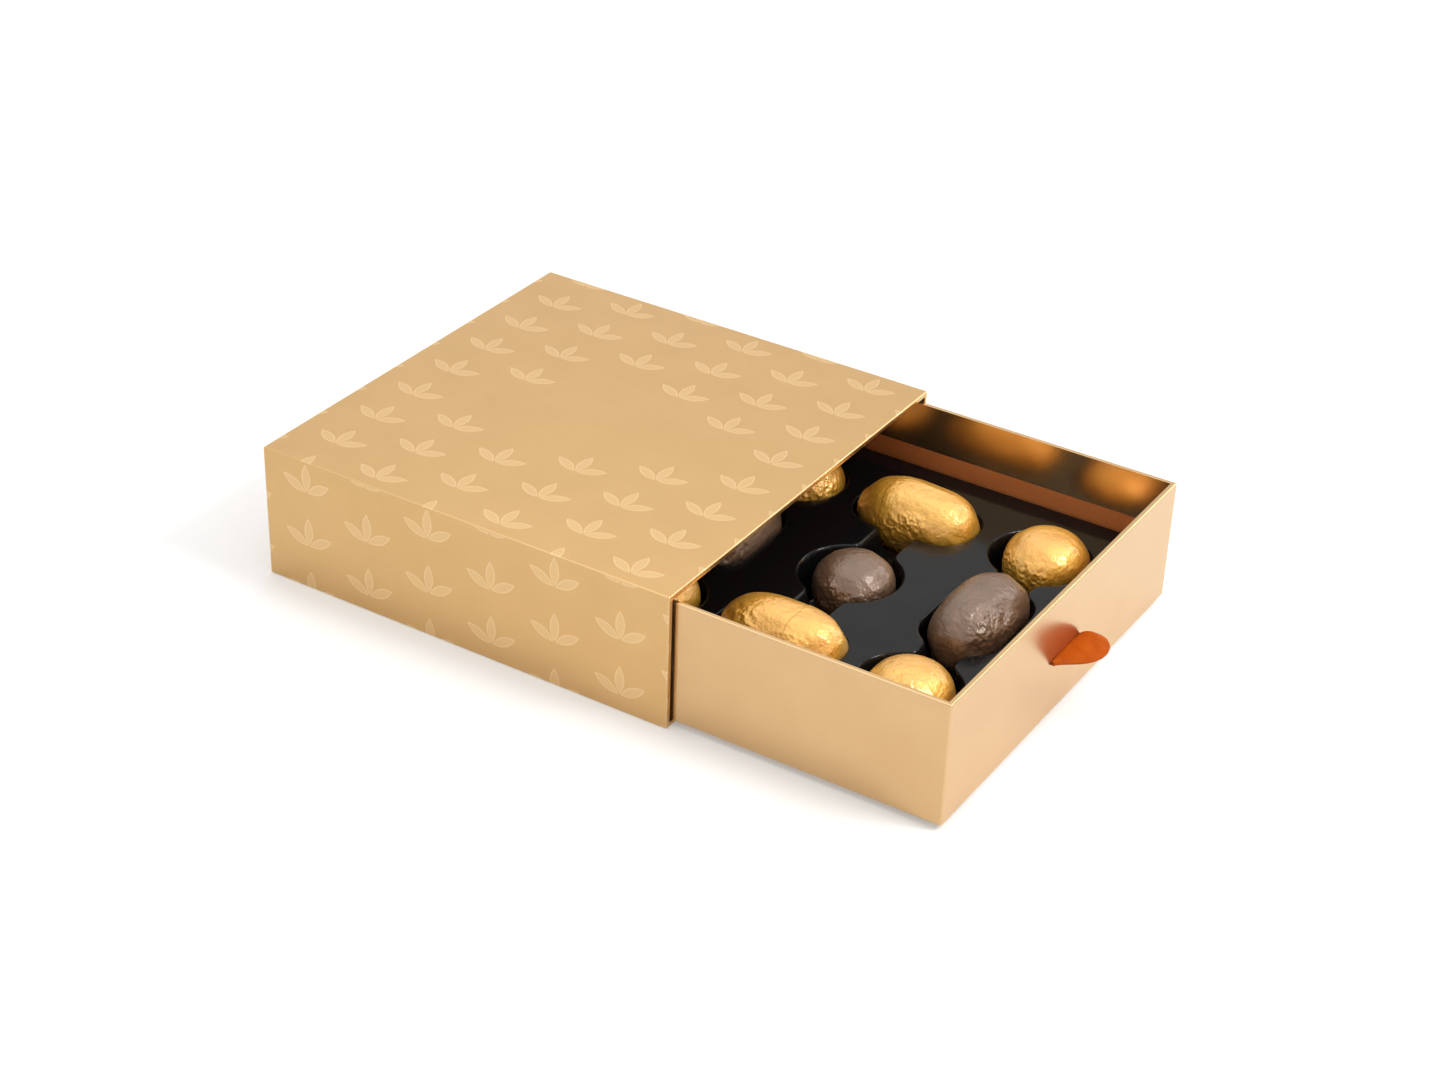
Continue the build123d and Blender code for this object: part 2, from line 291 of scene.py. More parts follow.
# Gold paper: a fine pearl-metallic sheet, calendered smooth, with a faint paper tooth.
# It is glued round the drawer's walls, over their rim and under both boxes. Its edges rub paler and
# carry a painted highlight.
plain_gold = (0.645, 0.427, 0.218, 1)
deep_gold = (0.595, 0.382, 0.185, 1)
# The edges' paler colour: rubbed paper, and a painted edge highlight
rubbed_and_highlit_gold = (1.0, 0.84, 0.58, 1)
gold_metallic = 0.94
gold_roughness = 0.21
gold_cloud_scale = 60.0
gold_cloud_span = (0.3, 0.7)
gold_cloud_share = 0.5
paper_tooth_scale = 900.0
paper_tooth_height = 0.000012
paper_wave_scale = 28.0
paper_wave_height = 0.00010
# How much of that paler colour the edges take, as rubbing and as painted highlight
rubbed_and_highlight_share = 0.08
# The greatest part of the paper's facing, where the paler edge (rubbing and painted highlight)
# starts and where it is full
rubbed_and_highlight_turn = (0.995, 0.93)


def clouded(look, colour, deep):
    """A paper's colour, with soft clouds of a deeper one."""
    cloud = look.noise(look.place(), gold_cloud_scale, detail=3.0, roughness=0.6)
    return look.mix(look.span(cloud, *gold_cloud_span, to_high=gold_cloud_share), colour, deep)


def paper_surface(look):
    """The tooth and the faint waves that any glued paper has, as a normal."""
    place = look.place()
    waves = look.bump(look.noise(place, paper_wave_scale, detail=1.0), paper_wave_height)
    tooth = look.noise(place, paper_tooth_scale, detail=3.0, roughness=0.7)
    return look.bump(tooth, paper_tooth_height, normal=waves)


def rubbed_and_highlit_edge(look):
    """1 on the rounded edges, where the paper faces neither up nor straight out, 0 on the flats:
    where it is painted paler for rubbing and a painted highlight.
    """
    x, y, z = look.parts(look.vector("ABSOLUTE", look.facing()))
    return look.span(look.greater(x, look.greater(y, z)), *rubbed_and_highlight_turn)


def gold_sheet(look, ground, roughness):
    """Ends a gold paper: its colours painted paler over the edges for rubbing and a painted
    highlight, its metal shine and its tooth.
    """
    return look.finish(
        Base_Color=look.mix(look.times(rubbed_and_highlit_edge(look), rubbed_and_highlight_share), ground, rubbed_and_highlit_gold),
        Metallic=gold_metallic,
        Roughness=roughness,
        Normal=paper_surface(look),
    )


def make_plain_gold():
    look = Look(bpy.data.materials.new("plain_gold_paper"))
    return gold_sheet(look, clouded(look, plain_gold, deep_gold), gold_roughness)


plain_gold_paper = make_plain_gold()
for node in ("drawer_wrap", "drawer_base_sheet", "sleeve_base_sheet"):
    dress(node, plain_gold_paper)

# Patterned paper of the sleeve: the same sheet printed all over in a paler gold.
# The print is a generic one of small leaf sprigs in half-drop rows, left bare in the top's middle.
# It is glued round the sleeve's boards and turned in at the mouth.
sleeve_gold = (0.64, 0.41, 0.182, 1)
sleeve_deep_gold = (0.585, 0.37, 0.157, 1)
sleeve_roughness = 0.30
print_gold = (0.80, 0.58, 0.32, 1)
print_share = 0.75
print_roughness = 0.08
# The print's sizes are in millimetres. A sprig stands at a share of its row's height, with a leaf
# at each turn. A leaf's outline gives way to its plainer inside between two distances in from its
# edge.
sprig_pitch = (23.0, 19.0)
sprig_foot = 0.3
leaf_turns = (28.0, 90.0, 152.0)
leaf_reach = 5.2
leaf_length = 9.6
leaf_width = 3.4
leaf_softness = 0.12
leaf_outline = (0.30, 0.48)
leaf_inside_share = 0.5
bare_radii = (37.0, 28.0)
# How squarely a face looks up or back before it counts as the top or the back
square_on = 0.7


def leaf_mask(look, u, v, turn):
    """One pointed leaf, out from its sprig's foot: 1 on its outline, less inside it, 0 off it."""
    c, s = math.cos(math.radians(turn)), math.sin(math.radians(turn))
    along = look.plus(look.times(u, c), look.times(v, s))
    across = look.minus(look.times(v, c), look.times(u, s))
    t = look.math("DIVIDE", look.minus(along, leaf_reach), leaf_length / 2)
    width = look.times(look.minus(1.0, look.times(t, t)), leaf_width / 2)
    edge = look.minus(width, look.math("ABSOLUTE", across))
    inside = look.span(edge, *leaf_outline, to_high=1.0 - leaf_inside_share)
    return look.minus(look.span(edge, -leaf_softness, leaf_softness), inside)


def sprig_print(look):
    """All of the sprigs, laid on each side of the sleeve by the way that the side faces."""
    x, y, z = look.parts(look.vector("MULTIPLY", look.place(), (1 / mm,) * 3))
    face_x, _, face_z = look.parts(look.vector("ABSOLUTE", look.facing()))
    on_top = look.math("GREATER_THAN", face_z, square_on)
    on_back = look.math("GREATER_THAN", face_x, square_on)

    def choose(flag, yes, no):
        return look.plus(look.times(flag, yes), look.times(look.minus(1.0, flag), no))

    across = choose(on_back, y, x)
    column = look.math("FLOOR", look.math("DIVIDE", across, sprig_pitch[0]))
    drop = look.times(look.math("MODULO", look.math("ABSOLUTE", column), 2.0), sprig_pitch[1] / 2)
    upward = look.plus(choose(on_top, y, z), drop)
    row = look.math("FLOOR", look.math("DIVIDE", upward, sprig_pitch[1]))
    u = look.minus(across, look.times(look.plus(column, 0.5), sprig_pitch[0]))
    v = look.minus(upward, look.times(look.plus(row, sprig_foot), sprig_pitch[1]))
    leaves = 0.0
    for turn in leaf_turns:
        leaves = look.greater(leaves, leaf_mask(look, u, v, turn))
    # The sprigs whose middles lie within an oval on the top are left out whole
    off_x = look.math("DIVIDE", look.minus(x, u), bare_radii[0])
    off_y = look.math("DIVIDE", look.plus(look.minus(y, v), leaf_reach), bare_radii[1])
    away = look.math("SQRT", look.plus(look.times(off_x, off_x), look.times(off_y, off_y)))
    bare = look.times(on_top, look.math("LESS_THAN", away, 1.0))
    return look.times(leaves, look.minus(1.0, bare))


def make_printed_gold():
    look = Look(bpy.data.materials.new("patterned_gold_paper"))
    leaves = sprig_print(look)
    printed = look.mix(
        look.times(leaves, print_share), clouded(look, sleeve_gold, sleeve_deep_gold), print_gold
    )
    roughness = look.plus(sleeve_roughness, look.times(leaves, print_roughness))
    return gold_sheet(look, printed, roughness)


dress("sleeve_wrap", make_printed_gold())

# Lining paper: a dull brown sheet, glued in the sleeve and in the drawer under the gold turn-in.
# In the drawer it shows as a stripe between the turn-in and the tray.
lining_brown = (0.63, 0.21, 0.058, 1)
lining_dark = (0.50, 0.155, 0.040, 1)
lining_roughness = 0.62
lining_cloud_scale = 220.0


def make_lining():
    look = Look(bpy.data.materials.new("lining_paper"))
    cloud = look.noise(look.place(), lining_cloud_scale, detail=4.0, roughness=0.7)
    return look.finish(
        Base_Color=look.mix(cloud, lining_brown, lining_dark),
        Roughness=lining_roughness,
        Normal=paper_surface(look),
    )


lining_paper = make_lining()
for node in ("drawer_lining", "sleeve_lining"):
    dress(node, lining_paper)

# Satin ribbon: woven orange satin, doubled over aslant outside the drawer's front as a pull.
# Both of its ends go in through the slit and lie down the inside of the wall, under the tape.
satin_orange = (0.47, 0.088, 0.003, 1)
satin_shade = (0.39, 0.064, 0.002, 1)
satin_roughness = 0.42
satin_gloss = 0.06
satin_cloud_scale = 260.0
satin_cloud_span = (0.35, 0.7)
thread_scale = 2600.0
thread_stretch = (0.06, 1.0, 1.0)
thread_height = 0.00004
ribbon_half_width = 9.2 * mm
ribbon_thickness = 0.2 * mm
thread_steps = 40
way_steps = 14
fold_steps = 6
fold_round = 0.3 * mm
tail_rise = 8.6 * mm
slit_middle = 21.0 * mm
# How far in from the wall's face the lower and the upper tail lie, and the share of it at the slit
tail_places = (-1.69 * mm, -1.86 * mm)
slit_share = 0.6
layer_apart = 0.2 * mm
layer_bulge = 1.1 * mm
lower_droop = 0.5 * layer_bulge
# The upper layer's bulge as shares of the full one: at the near edge, and its gain to the far edge
near_bulge, bulge_gain = 0.4, 0.6
# Powers of the way out: for where the bulge is highest, and for how soon a thread turns aside
bulge_lean = 0.8
side_sweep = 1.3
# The slanted fold bends along these points, out from the wall and along it, near edge to far edge
fold_points = ((0.5, -9.0), (4.1, -3.6), (14.3, -3.8), (12.6, 11.9), (4.8, 12.8))


def fold_place(share):
    """A point of the fold's smooth bend, from 0 at the near edge to 1 at the far edge."""
    last = len(fold_points) - 1
    pulls = [math.comb(last, k) * share ** k * (1 - share) ** (last - k) for k in range(last + 1)]
    pulled = [[pull * part for part in point] for pull, point in zip(pulls, fold_points)]
    return tuple(sum(parts) * mm for parts in zip(*pulled))


def thread_way(share, wall_x):
    """One thread's way from the lower tail, out, round the fold, back and down the upper tail."""
    y_wall = (2 * share - 1) * ribbon_half_width
    out_x, out_y = fold_place(share)
    lower, upper = slit_middle - layer_apart, slit_middle + layer_apart
    fold_low = lower - lower_droop
    fold_high = fold_low + 2 * fold_round
    rise = layer_bulge * (near_bulge + bulge_gain * share)
    way = []

    def go_to(out, y, z):
        way.append((wall_x + out, y, z))

    def swept(t):
        return y_wall + (out_y - y_wall) * t ** side_sweep

    for k in range(way_steps):
        go_to(tail_places[0], y_wall, lower - tail_rise * (1 - k / way_steps))
    go_to(slit_share * tail_places[0], y_wall, lower)
    for k in range(way_steps + 1):
        t = k / way_steps
        go_to(out_x * t, swept(t), lower - lower_droop * math.sin(0.5 * math.pi * t))
    for k in range(1, fold_steps):
        turn = math.pi * k / fold_steps
        z = fold_low + fold_round * (1 - math.cos(turn))
        go_to(out_x + fold_round * math.sin(turn), out_y, z)
    for k in range(way_steps + 1):
        t = 1 - k / way_steps
        bulge = rise * math.sin(math.pi * t ** bulge_lean)
        go_to(out_x * t, swept(t), upper + (fold_high - upper) * t * t + bulge)
    go_to(slit_share * tail_places[1], y_wall, upper)
    for k in range(way_steps + 1):
        go_to(tail_places[1], y_wall, upper - tail_rise * k / way_steps - fold_round)
    return way


def net_faces(rows, columns):
    """The four-cornered faces of a net of points that is laid out row by row."""
    return [
        (r * columns + c, r * columns + c + 1, (r + 1) * columns + c + 1, (r + 1) * columns + c)
        for r in range(rows - 1)
        for c in range(columns - 1)
    ]


def smooth_piece(name, points, faces):
    """Makes a smooth piece of points and faces, and sets it down in the scene."""
    mesh = bpy.data.meshes.new(name)
    mesh.from_pydata(points, [], faces)
    mesh.shade_smooth()
    return set_down(name, mesh)


def thicken(piece, name, thickness, offset):
    """Gives a sheet its thickness: all on its under side at -1, and half on each side at 0."""
    layer = piece.modifiers.new(name, "SOLIDIFY")
    layer.thickness = thickness
    layer.offset = offset


def make_ribbon():
    wall_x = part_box("drawer_wrap")[1].x
    threads = [thread_way(k / thread_steps, wall_x) for k in range(thread_steps + 1)]
    points = [point for thread in threads for point in thread]
    ribbon = smooth_piece("ribbon", points, net_faces(len(threads), len(threads[0])))
    thicken(ribbon, "cloth", ribbon_thickness, 0)
    return ribbon


def make_satin():
    """Satin: smooth long threads that run out from the wall, with a soft gloss across them."""
    look = Look(bpy.data.materials.new("satin_ribbon"))
    place = look.place()
    stretched = look.filled("ShaderNodeMapping", Vector=place, Scale=thread_stretch).outputs[0]
    cloud = look.span(look.noise(place, satin_cloud_scale), *satin_cloud_span)
    return look.finish(
        Base_Color=look.mix(cloud, satin_orange, satin_shade),
        Roughness=satin_roughness,
        Specular_IOR_Level=satin_gloss,
        Normal=look.bump(look.noise(stretched, thread_scale), thread_height),
    )


ribbon = make_ribbon()
ribbon.data.materials.append(make_satin())
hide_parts("ribbon_pull")
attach(ribbon, "drawer")

# Tape: a strip of cloudy film with glue on one side, cut from a roll.
# It is stuck down inside the front wall, over the ribbon's two tails, and holds them there.
tape_colour = (0.72, 0.66, 0.55, 1)
tape_shade = (0.62, 0.55, 0.44, 1)
tape_roughness = 0.45
tape_cloud_scale = 300.0


def make_tape():
    look = Look(bpy.data.materials.new("tape"))
    cloud = look.noise(look.place(), tape_cloud_scale, detail=3.0)
    return look.finish(
        Base_Color=look.mix(cloud, tape_colour, tape_shade),
        Roughness=tape_roughness,
    )


dress("ribbon_patch", make_tape())

# Formed tray: black glossy film drawn over a mould into nine pockets joined by finger channels.
# It drops loose into the drawer and stands on its skirt; the film is thin and its edges are soft.
tray_black = (0.004, 0.004, 0.0045, 1)
tray_gloss = 0.20
tray_roughness = (0.09, 0.17)
tray_cloud_scale = 140.0
tray_cloud_span = (0.2, 0.8)
tray_wave_scale = 55.0
tray_wave_height = 0.0002
tray_low, tray_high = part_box("insert_tray")
tray_step = 0.45 * mm
tray_film = 0.4 * mm
tray_corner = 1.2 * mm
snap_reach = 0.55 * tray_step
snap_probe = 0.1 * tray_step
long_pocket_half = (21.2 * mm, 13.4 * mm)
long_pocket_corner = 12.0 * mm
round_pocket_radius = 16.5 * mm
long_pocket_depth = 13.6 * mm
round_pocket_depth = 15.1 * mm
lip_round = 0.7 * mm
side_slope = 7.0
floor_blend = 7.0 * mm
channel_corner = 3.0 * mm
channel_depth = 8.0 * mm
corner_blend = 2.5 * mm
row_codes = "123"
column_codes = "abc"
piece_codes = [row + column for row in row_codes for column in column_codes]
long_codes = ("1b", "2a", "2c", "3b")
lengthwise_codes = ("2a", "2c")
grid_middle = Vector((90.5, 0.0)) * mm
grid_pitch = Vector((43.2, 41.6)) * mm
channel_half = (6.5 * mm, grid_pitch.y)


def pocket_middle(code):
    row, column = row_codes.index(code[0]) - 1, column_codes.index(code[1]) - 1
    return grid_middle.x - row * grid_pitch.x, column * grid_pitch.y


def rounded_distance(x, y, half_x, half_y, corner):
    """How far points lie outside a rounded rectangle, below zero inside it."""
    dx = np.abs(x) - (half_x - corner)
    dy = np.abs(y) - (half_y - corner)
    outside = np.hypot(np.maximum(dx, 0), np.maximum(dy, 0))
    return outside + np.minimum(np.maximum(dx, dy), 0) - corner


def soft_least(a, b, reach):
    """The lesser of two distances, with their meeting rounded over a reach."""
    h = np.clip(0.5 + 0.5 * (b - a) / reach, 0, 1)
    return b + (a - b) * h - reach * h * (1 - h)


def drawn_drop(inside, depth):
    """How far the film is drawn down at a distance inside a rim: a lip, a steep side, a floor."""
    past_lip = np.clip(inside, 0, lip_round)
    lip = lip_round - np.sqrt(lip_round ** 2 - past_lip ** 2)
    side = lip + side_slope * np.maximum(inside - lip_round, 0)
    return np.clip(soft_least(side, depth, floor_blend), 0, depth) * (inside > 0)


def rim_distances(x, y):
    """How far points lie outside the nearest long pocket, round pocket, and hollow of any kind."""
    long_pockets, round_pockets, channels = [], [], []
    for code in piece_codes:
        middle_x, middle_y = pocket_middle(code)
        off_x, off_y = x - middle_x, y - middle_y
        if code in long_codes:
            half = long_pocket_half if code in lengthwise_codes else long_pocket_half[::-1]
            long_pockets.append(rounded_distance(off_x, off_y, *half, long_pocket_corner))
        else:
            round_pockets.append(np.hypot(off_x, off_y) - round_pocket_radius)
        if middle_y == 0:
            # A finger channel runs along each row, from its first pocket's middle to its last one's
            channels.append(rounded_distance(off_x, y, *channel_half, channel_corner))
    to_long, to_round = np.minimum.reduce(long_pockets), np.minimum.reduce(round_pockets)
    to_any = soft_least(np.minimum(to_long, to_round), np.minimum.reduce(channels), corner_blend)
    return to_long, to_round, to_any


def tray_heights(x, y):
    """The film's upper face: flat bands, channels and pockets, and a rounded outer edge."""
    to_long, to_round, to_any = rim_distances(x, y)
    drop = drawn_drop(-to_any, channel_depth)
    drop = np.maximum(drop, drawn_drop(-to_long, long_pocket_depth))
    drop = np.maximum(drop, drawn_drop(-to_round, round_pocket_depth))
    edge = np.minimum(
        np.minimum(x - tray_low.x, tray_high.x - x), np.minimum(y - tray_low.y, tray_high.y - y)
    )
    past = 1 - np.clip(edge / tray_corner, 0, 1)
    edge_drop = tray_corner * (1 - np.sqrt(np.clip(1 - past ** 2, 0, 1)))
    return tray_high.z - drop - edge_drop


def snap_to_rims(x, y):
    """Moves the points that lie next to a rim onto it, so that the rim is a clean line."""
    # Any hollow first, then the round pockets, and the long ones last
    for which in (2, 1, 0):
        off = rim_distances(x, y)[which]
        slope_x = (rim_distances(x + snap_probe, y)[which] - off) / snap_probe
        slope_y = (rim_distances(x, y + snap_probe)[which] - off) / snap_probe
        near = np.abs(off) < snap_reach
        x -= np.where(near, off * slope_x, 0)
        y -= np.where(near, off * slope_y, 0)


def make_tray():
    """A fine net of points over the tray, with a skirt from its border to the drawer's floor."""
    columns = int(round((tray_high.x - tray_low.x) / tray_step)) + 1
    rows = int(round((tray_high.y - tray_low.y) / tray_step)) + 1
    across = np.linspace(tray_low.x, tray_high.x, columns)
    along = np.linspace(tray_low.y, tray_high.y, rows)
    x, y = np.meshgrid(across, along)
    snap_to_rims(x, y)
    points = np.stack([x, y, tray_heights(x, y)], axis=-1).reshape(-1, 3).tolist()
    faces = net_faces(rows, columns)
    number = np.arange(rows * columns).reshape(rows, columns)
    sides = (number[0, :-1], number[:-1, -1], number[-1, :0:-1], number[:0:-1, 0])
    border = np.concatenate(sides).tolist()
    foot = len(points)
    points += [(points[i][0], points[i][1], tray_low.z) for i in border]
    for k, i in enumerate(border):
        following = (k + 1) % len(border)
        faces.append((i, foot + k, foot + following, border[following]))
    tray = smooth_piece("tray", points, faces)
    thicken(tray, "film", tray_film, -1)
    return tray


def make_tray_plastic():
    look = Look(bpy.data.materials.new("formed_tray"))
    place = look.place()
    cloud = look.noise(place, tray_cloud_scale, detail=3.0)
    return look.finish(
        Base_Color=tray_black,
        Specular_IOR_Level=tray_gloss,
        Roughness=look.span(cloud, *tray_cloud_span, *tray_roughness),
        Normal=look.bump(look.noise(place, tray_wave_scale), tray_wave_height),
    )


tray = make_tray()
tray.data.materials.append(make_tray_plastic())
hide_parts("insert_tray")
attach(tray, "drawer")

# Chocolate: the dark moulded body inside each wrapper, long or round, with a faint cloudy bloom.
# It is cast in a mould and turned out whole, and the foil goes round it.
chocolate_brown = (0.045, 0.016, 0.007, 1)
chocolate_bloom = (0.07, 0.026, 0.011, 1)
chocolate_roughness = 0.38
bloom_scale = 160.0


def make_chocolate():
    look = Look(bpy.data.materials.new("chocolate"))
    bloom = look.noise(look.place(), bloom_scale, detail=3.0)
    return look.finish(
        Base_Color=look.mix(bloom, chocolate_brown, chocolate_bloom),
        Roughness=chocolate_roughness,
    )


chocolate = make_chocolate()
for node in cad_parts:
    if node.startswith("chocolate_"):
        dress(node, chocolate)

# Foil: thin soft aluminium, lacquered gold or brown, pressed round each chocolate by hand.
# Fingers leave flats round its shoulders; the foil is smooth on top and gathered in creases below.
gold_foil_colours = (0.80, 0.43, 0.048, 1), (0.73, 0.35, 0.027, 1)
gold_foil_metallic = 0.62
brown_foil_colours = (0.180, 0.102, 0.058, 1), (0.132, 0.073, 0.040, 1)
brown_foil_metallic = 0.50
# The lacquer's share and its roughness
gold_lacquer = (1.0, 0.31)
brown_lacquer = (0.60, 0.33)
lacquer_index = 1.80
foil_roughness = 0.50
foil_tint_scale = 120.0
foil_tint_span = (0.35, 0.65)
foil_grain_scale = 1400.0
foil_grain_height = 0.00004
foil_ripple_scale = 520.0
foil_ripple_height = 0.00033
brown_codes = ("1b", "2b", "3b")
foil_detail = 7
straight_up = np.array((0.0, 0.0, 1.0))
# Each wrapper's own seed is a step on from the last, and its wrinkles and loose end add to it
seed_step = 11
wrinkle_seed = 7
overlap_seed = 3
# The power of each outline: 2 would be an ellipse, and more is fuller
long_fullness = 2.55
round_fullness = 2.3
# A long piece has a ring of flats at each end, tilted out from its axis by some degrees, and one
# round its middle. A round piece has three rings, at degrees above its middle. A flat strays by up
# to a share of the step to the next one.
end_flats = 6
end_flat_tilts = (40, 58)
body_flats = 7
body_flat_lean = 0.1
long_flat_stray = 0.2
shoulder_flats = 6
shoulder_lifts = (44, 8, -35)
shoulder_lift_stray = 7
round_flat_stray = 0.25
# How deep a flat is pressed in, from and to, and how far its edge is rounded
long_flat_cut = (0.15 * mm, 0.60 * mm)
round_flat_cut = (0.02 * mm, 0.34 * mm)
flat_softness = 0.12 * mm
# The clear flats over the right end of 2c and along its top: the way that each faces
hand_flats = {"2c": ((0.66, 0.52, 0.54), (0.05, 0.42, 0.93))}
hand_flat_cut = 0.55 * mm
hand_flat_softness = 0.05 * mm
crumple_size = 2.2 * mm
crumple_height = 0.26
wrinkle_size = 1.1 * mm
wrinkle_height = 0.34
swell_size = 11.0 * mm
swell_height = 0.12 * mm
# How much the foil is creased on top, and what that gains between two shares of the way down
top_crease = 0.09
crease_gain = 0.6
crease_gain_span = (-0.1, 0.6)
# Where each wrapper is creased most: a place out from its middle, and how far round it they reach
creased_places = {
    "1a": ((0.2, -0.55, 0.8, 0.28),),
    "1b": (
        (0.63, -0.57, 0.50, 0.44),
        (0.15, -0.52, 0.82, 0.22),
        (0.93, -0.15, 0.28, 0.34),
        (0.7, -0.6, -0.25, 0.45),
    ),
    "1c": ((0.1, -0.95, 0.0, 0.55), (-0.6, -0.75, 0.25, 0.40)),
    "2a": ((-0.6, -0.6, 0.5, 0.45), (0.35, -0.7, 0.5, 0.25)),
    "2b": (
        (-0.15, -0.90, 0.38, 0.30),
        (-0.08, -0.98, -0.15, 0.45),
        (0.51, -0.83, 0.10, 0.38),
        (0.78, -0.48, 0.36, 0.26),
    ),
    "2c": ((-0.2, -0.95, 0.0, 0.45), (0.15, -0.85, 0.35, 0.26), (-0.9, -0.4, 0.1, 0.40)),
    "3a": ((0.5, -0.7, 0.3, 0.60),),
    "3b": ((0.6, -0.6, 0.2, 0.40),),
    "3c": ((0.5, -0.7, 0.3, 0.90),),
}
# The shares of that reach where the creases start to fade, and where they end
crease_fade = (0.4, 1.5)
# Where the loose end of the foil lies over a long piece, how far it strays and how soft its edge
# is, as shares of the piece's half length
overlap_places = {"1b": 0.75, "2a": 0.25, "2c": -0.45, "3b": -0.60}
overlap_stray = 0.10
overlap_soft = 0.006
overlap_step = 0.16 * mm


def lengthwise(code):
    return np.array((1.0, 0.0, 0.0)) if code in lengthwise_codes else np.array((0.0, 1.0, 0.0))


def ball_points():
    """Points spread evenly over a ball, and the triangles between them."""
    ball = bmesh.new()
    bmesh.ops.create_icosphere(ball, subdivisions=foil_detail, radius=1.0)
    ways = np.array([vertex.co for vertex in ball.verts])
    faces = [[vertex.index for vertex in face.verts] for face in ball.faces]
    ball.free()
    return ways / np.linalg.norm(ways, axis=1, keepdims=True), faces


def full_form(code, ways, half):
    """The chocolate's outline along each way: a barrel with full ends, or a full round drop."""
    if code in long_codes:
        along = np.abs(ways @ lengthwise(code))
        across = np.sqrt(np.clip(1 - along ** 2, 0, 1))
        fullness, reach, girth = long_fullness, half.max(), half[2]
    else:
        along = np.abs(ways[:, 2])
        across = np.hypot(ways[:, 0], ways[:, 1])
        fullness, reach, girth = round_fullness, half[2], half[0]
    far = ((along / reach) ** fullness + (across / girth) ** fullness) ** (-1 / fullness)
    return ways * far[:, None]


def ring_turns(count, stray, chance):
    """The turns of one ring of flats, each drawn only when the one before it is done with."""
    start = chance.uniform(0, 2 * math.pi)
    for k in range(count):
        yield start + 2 * math.pi * (k + chance.uniform(-stray, stray)) / count


def pressed_ways(code, chance):
    """The ways that the flats face: rings round both ends of a long piece, or round a round one."""
    ways = []
    if code in long_codes:
        axis = lengthwise(code)
        side = np.cross(axis, straight_up)

        def out_from_axis(turn):
            return math.cos(turn) * side + math.sin(turn) * straight_up

        for end in (-1, 1):
            for turn in ring_turns(end_flats, long_flat_stray, chance):
                tilt = math.radians(chance.uniform(*end_flat_tilts))
                ways.append(end * math.cos(tilt) * axis + math.sin(tilt) * out_from_axis(turn))
        for turn in ring_turns(body_flats, long_flat_stray, chance):
            lean = chance.uniform(-body_flat_lean, body_flat_lean)
            ways.append(out_from_axis(turn) + axis * lean)
    else:
        for lift in shoulder_lifts:
            for turn in ring_turns(shoulder_flats, round_flat_stray, chance):
                stray = chance.uniform(-shoulder_lift_stray, shoulder_lift_stray)
                rise = math.radians(lift) + math.radians(stray)
                level, up = math.cos(rise), math.sin(rise)
                ways.append(np.array((math.cos(turn) * level, math.sin(turn) * level, up)))
    return [way / np.linalg.norm(way) for way in ways]


def press_in(points, way, over, softness):
    """Moves what stands over a flat back to it, against the way that it faces, with a soft edge."""
    return points - np.outer(softness * np.logaddexp(0, over / softness), way)


def press_flats(code, points, ways, chance):
    """Presses each flat in by its own small depth, and the clear ones deeper."""
    full = points
    flat_cut = long_flat_cut if code in long_codes else round_flat_cut
    for way in ways:
        out = points @ way
        over = out - (out.max() - chance.uniform(*flat_cut))
        points = press_in(points, way, over, flat_softness)
    for way in hand_flats.get(code, ()):
        way = np.array(way) / np.linalg.norm(way)
        over = points @ way - ((full @ way).max() - hand_flat_cut)
        points = press_in(points, way, over, hand_flat_softness)
    return points


def crumple(points, size, seed):
    """Hollows with sharp crease lines between them, from 0 to about 1, as gathered foil takes."""
    shift = Vector((seed, 2 * seed, -seed))
    return np.array([noise.voronoi(Vector(point) / size + shift)[0][0] for point in points])


def swell(points, size, seed):
    """A slow unevenness, from about -1 to 1."""
    shift = Vector((-seed, seed, 3 * seed))
    return np.array([noise.noise(Vector(point) / size + shift) for point in points])


def share_between(value, low, high):
    """0 up to low, 1 from high, and a smooth rise between them."""
    t = np.clip((value - low) / (high - low), 0, 1)
    return t * t * (3 - 2 * t)


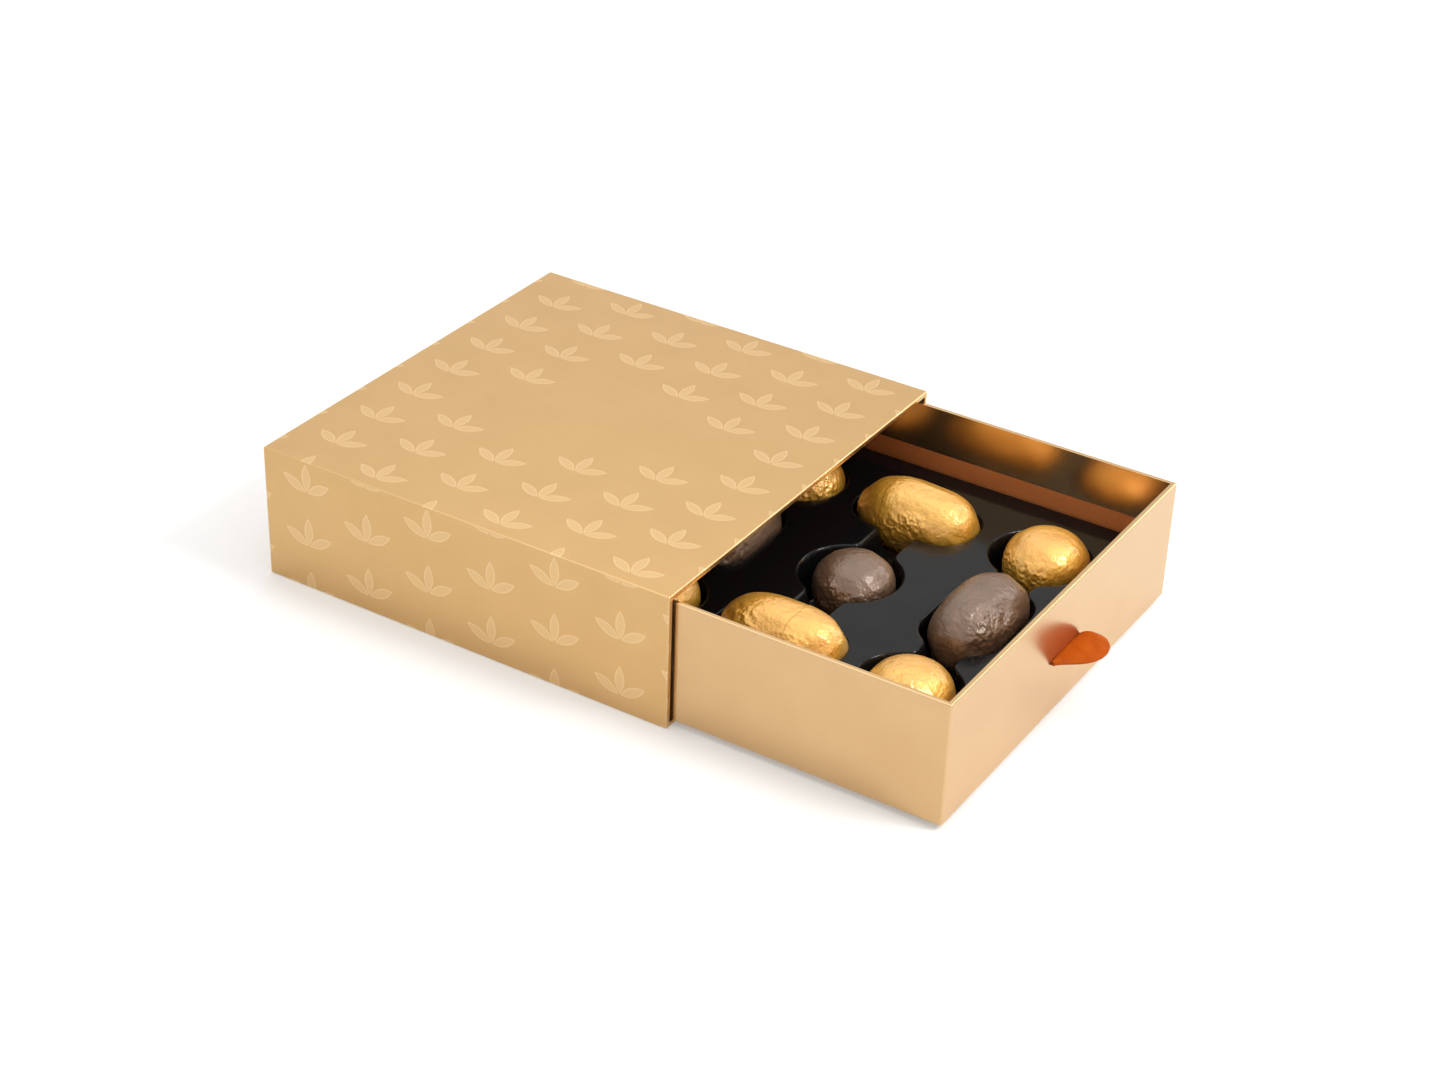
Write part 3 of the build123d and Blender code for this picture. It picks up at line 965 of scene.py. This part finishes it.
def make_wrapper(code, seed, ways, faces):
    """Presses a ball to the chocolate's form, then adds its flats, creases, swell and loose end."""
    low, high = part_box("foil_" + code)
    middle, half = np.array((low + high) / 2), np.array((high - low) / 2)
    chance = np.random.default_rng(seed)
    points = press_flats(code, full_form(code, ways, half), pressed_ways(code, chance), chance)
    shares = points / half
    creased = top_crease + crease_gain * share_between(-shares[:, 2], *crease_gain_span)
    for *place, reach in creased_places[code]:
        off = np.linalg.norm(shares - np.array(place), axis=1)
        start, end = (fade * reach for fade in crease_fade)
        creased = np.maximum(creased, 1 - share_between(off, start, end))
    lift = crumple_height * crumple_size * creased * crumple(points, crumple_size, seed)
    wrinkles = crumple(points, wrinkle_size, seed + wrinkle_seed)
    lift += wrinkle_height * wrinkle_size * creased * wrinkles
    lift += swell_height * swell(points, swell_size, seed)
    if code in overlap_places:
        along = shares @ lengthwise(code)
        edge = overlap_places[code] + overlap_stray * swell(points, swell_size, seed + overlap_seed)
        lift += overlap_step * share_between(along, edge - overlap_soft, edge + overlap_soft)
    points = points + ways * (lift - swell_height)[:, None]
    return smooth_piece("wrapper_" + code, (points + middle).tolist(), faces)


def make_foil(name, colours, metallic, lacquer):
    """Embossed foil under a clear lacquer: a fine grain, a satin shine and a cloudy tint."""
    look = Look(bpy.data.materials.new(name))
    place = look.place()
    tint = look.span(look.noise(place, foil_tint_scale, detail=3.0), *foil_tint_span)
    grain = look.noise(place, foil_grain_scale, roughness=0.6)
    ripples = look.bump(look.noise(place, foil_ripple_scale), foil_ripple_height)
    return look.finish(
        Base_Color=look.mix(tint, *colours),
        Metallic=metallic,
        Roughness=foil_roughness,
        Coat_Weight=lacquer[0],
        Coat_Roughness=lacquer[1],
        Coat_IOR=lacquer_index,
        Coat_Normal=ripples,
        Normal=look.bump(grain, foil_grain_height, normal=ripples),
    )


gold_foil = make_foil("gold_foil", gold_foil_colours, gold_foil_metallic, gold_lacquer)
brown_foil = make_foil("brown_foil", brown_foil_colours, brown_foil_metallic, brown_lacquer)
ball_ways, ball_faces = ball_points()
for order, code in enumerate(piece_codes, 1):
    is_brown = code in brown_codes
    wrapper = make_wrapper(code, seed_step * order, ball_ways, ball_faces)
    wrapper.data.materials.append(brown_foil if is_brown else gold_foil)
    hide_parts("foil_" + code)
    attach(wrapper, "piece_" + code)

# The whole box: colours shown as they are written.
bpy.context.scene.view_settings.view_transform = "Standard"
